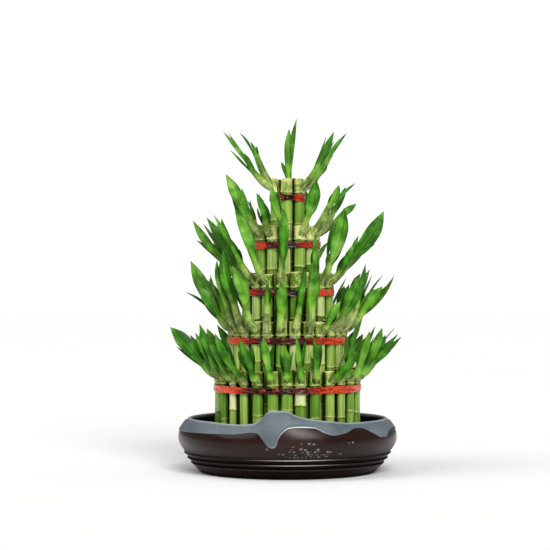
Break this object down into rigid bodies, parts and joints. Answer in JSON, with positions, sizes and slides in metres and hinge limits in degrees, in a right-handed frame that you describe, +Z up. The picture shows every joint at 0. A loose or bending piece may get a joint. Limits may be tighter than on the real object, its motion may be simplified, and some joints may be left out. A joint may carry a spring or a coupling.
{
  "type": "lucky bamboo arrangement",
  "caption": "Tower of cut lucky bamboo stalks in stepped rings, each ring tied with red ribbon and sprouting leafy shoots, standing in water in a low round glazed ceramic bowl.",
  "frame": {"origin": "centre of the bowl's flat foot, on the surface that it stands on", "axes": "+Z up along the tower, -Y towards the viewer's side with the wave crest in the bowl's rim, +X to the viewer's right"},
  "size_m": [0.2492, 0.2397, 0.3835],
  "materials": {
    "ceramic": "satin dark brown clay under a matt blue-grey glaze",
    "bamboo": "smooth living green cane with satin leaves",
    "ribbon": "glossy crumpled satin",
    "water": "clear still water"
  },
  "bodies": {
    "root": {"bowl": "ceramic", "water": "water", "tier1_stalk_pair_01": "bamboo", "tier1_stalk_02": "bamboo", "tier1_stalk_03": "bamboo", "tier1_stalk_04": "bamboo", "tier1_stalk_05": "bamboo", "tier1_stalk_pair_06": "bamboo", "tier1_stalk_07": "bamboo", "tier1_stalk_08": "bamboo", "tier1_stalk_09": "bamboo", "tier1_stalk_10": "bamboo", "tier1_stalk_pair_11": "bamboo", "tier1_stalk_pair_12": "bamboo", "tier1_stalk_pair_13": "bamboo", "tier1_stalk_pair_14": "bamboo", "tier1_stalk_pair_15": "bamboo", "tier1_stalk_pair_16": "bamboo", "tier1_stalk_pair_17": "bamboo", "tier1_stalk_pair_18": "bamboo", "tier1_ribbon": "ribbon", "tier2_stalk_pair_01": "bamboo", "tier2_stalk_pair_02": "bamboo", "tier2_stalk_pair_03": "bamboo", "tier2_stalk_pair_04": "bamboo", "tier2_stalk_pair_05": "bamboo", "tier2_stalk_pair_06": "bamboo", "tier2_stalk_pair_07": "bamboo", "tier2_stalk_pair_08": "bamboo", "tier2_stalk_pair_09": "bamboo", "tier2_stalk_pair_10": "bamboo", "tier2_stalk_pair_11": "bamboo", "tier2_stalk_pair_12": "bamboo", "tier2_stalk_pair_13": "bamboo", "tier2_ribbon": "ribbon", "tier3_stalk_pair_01": "bamboo", "tier3_stalk_pair_02": "bamboo", "tier3_stalk_pair_03": "bamboo", "tier3_stalk_pair_04": "bamboo", "tier3_stalk_pair_05": "bamboo", "tier3_stalk_pair_06": "bamboo", "tier3_stalk_pair_07": "bamboo", "tier3_stalk_pair_08": "bamboo", "tier3_stalk_pair_09": "bamboo", "tier3_ribbon": "ribbon", "tier4_stalk_pair_01": "bamboo", "tier4_stalk_pair_02": "bamboo", "tier4_stalk_pair_03": "bamboo", "tier4_stalk_pair_04": "bamboo", "tier4_stalk_pair_05": "bamboo", "tier4_stalk_pair_06": "bamboo", "tier4_ribbon": "ribbon", "tier5_stalk_01": "bamboo", "tier5_stalk_02": "bamboo", "tier5_stalk_03": "bamboo", "tier5_stalk_04": "bamboo", "tier5_stalk_05": "bamboo", "tier5_stalk_06": "bamboo", "tier5_ribbon": "ribbon", "centre_stalk": "bamboo"}
  },
  "joints": []
}
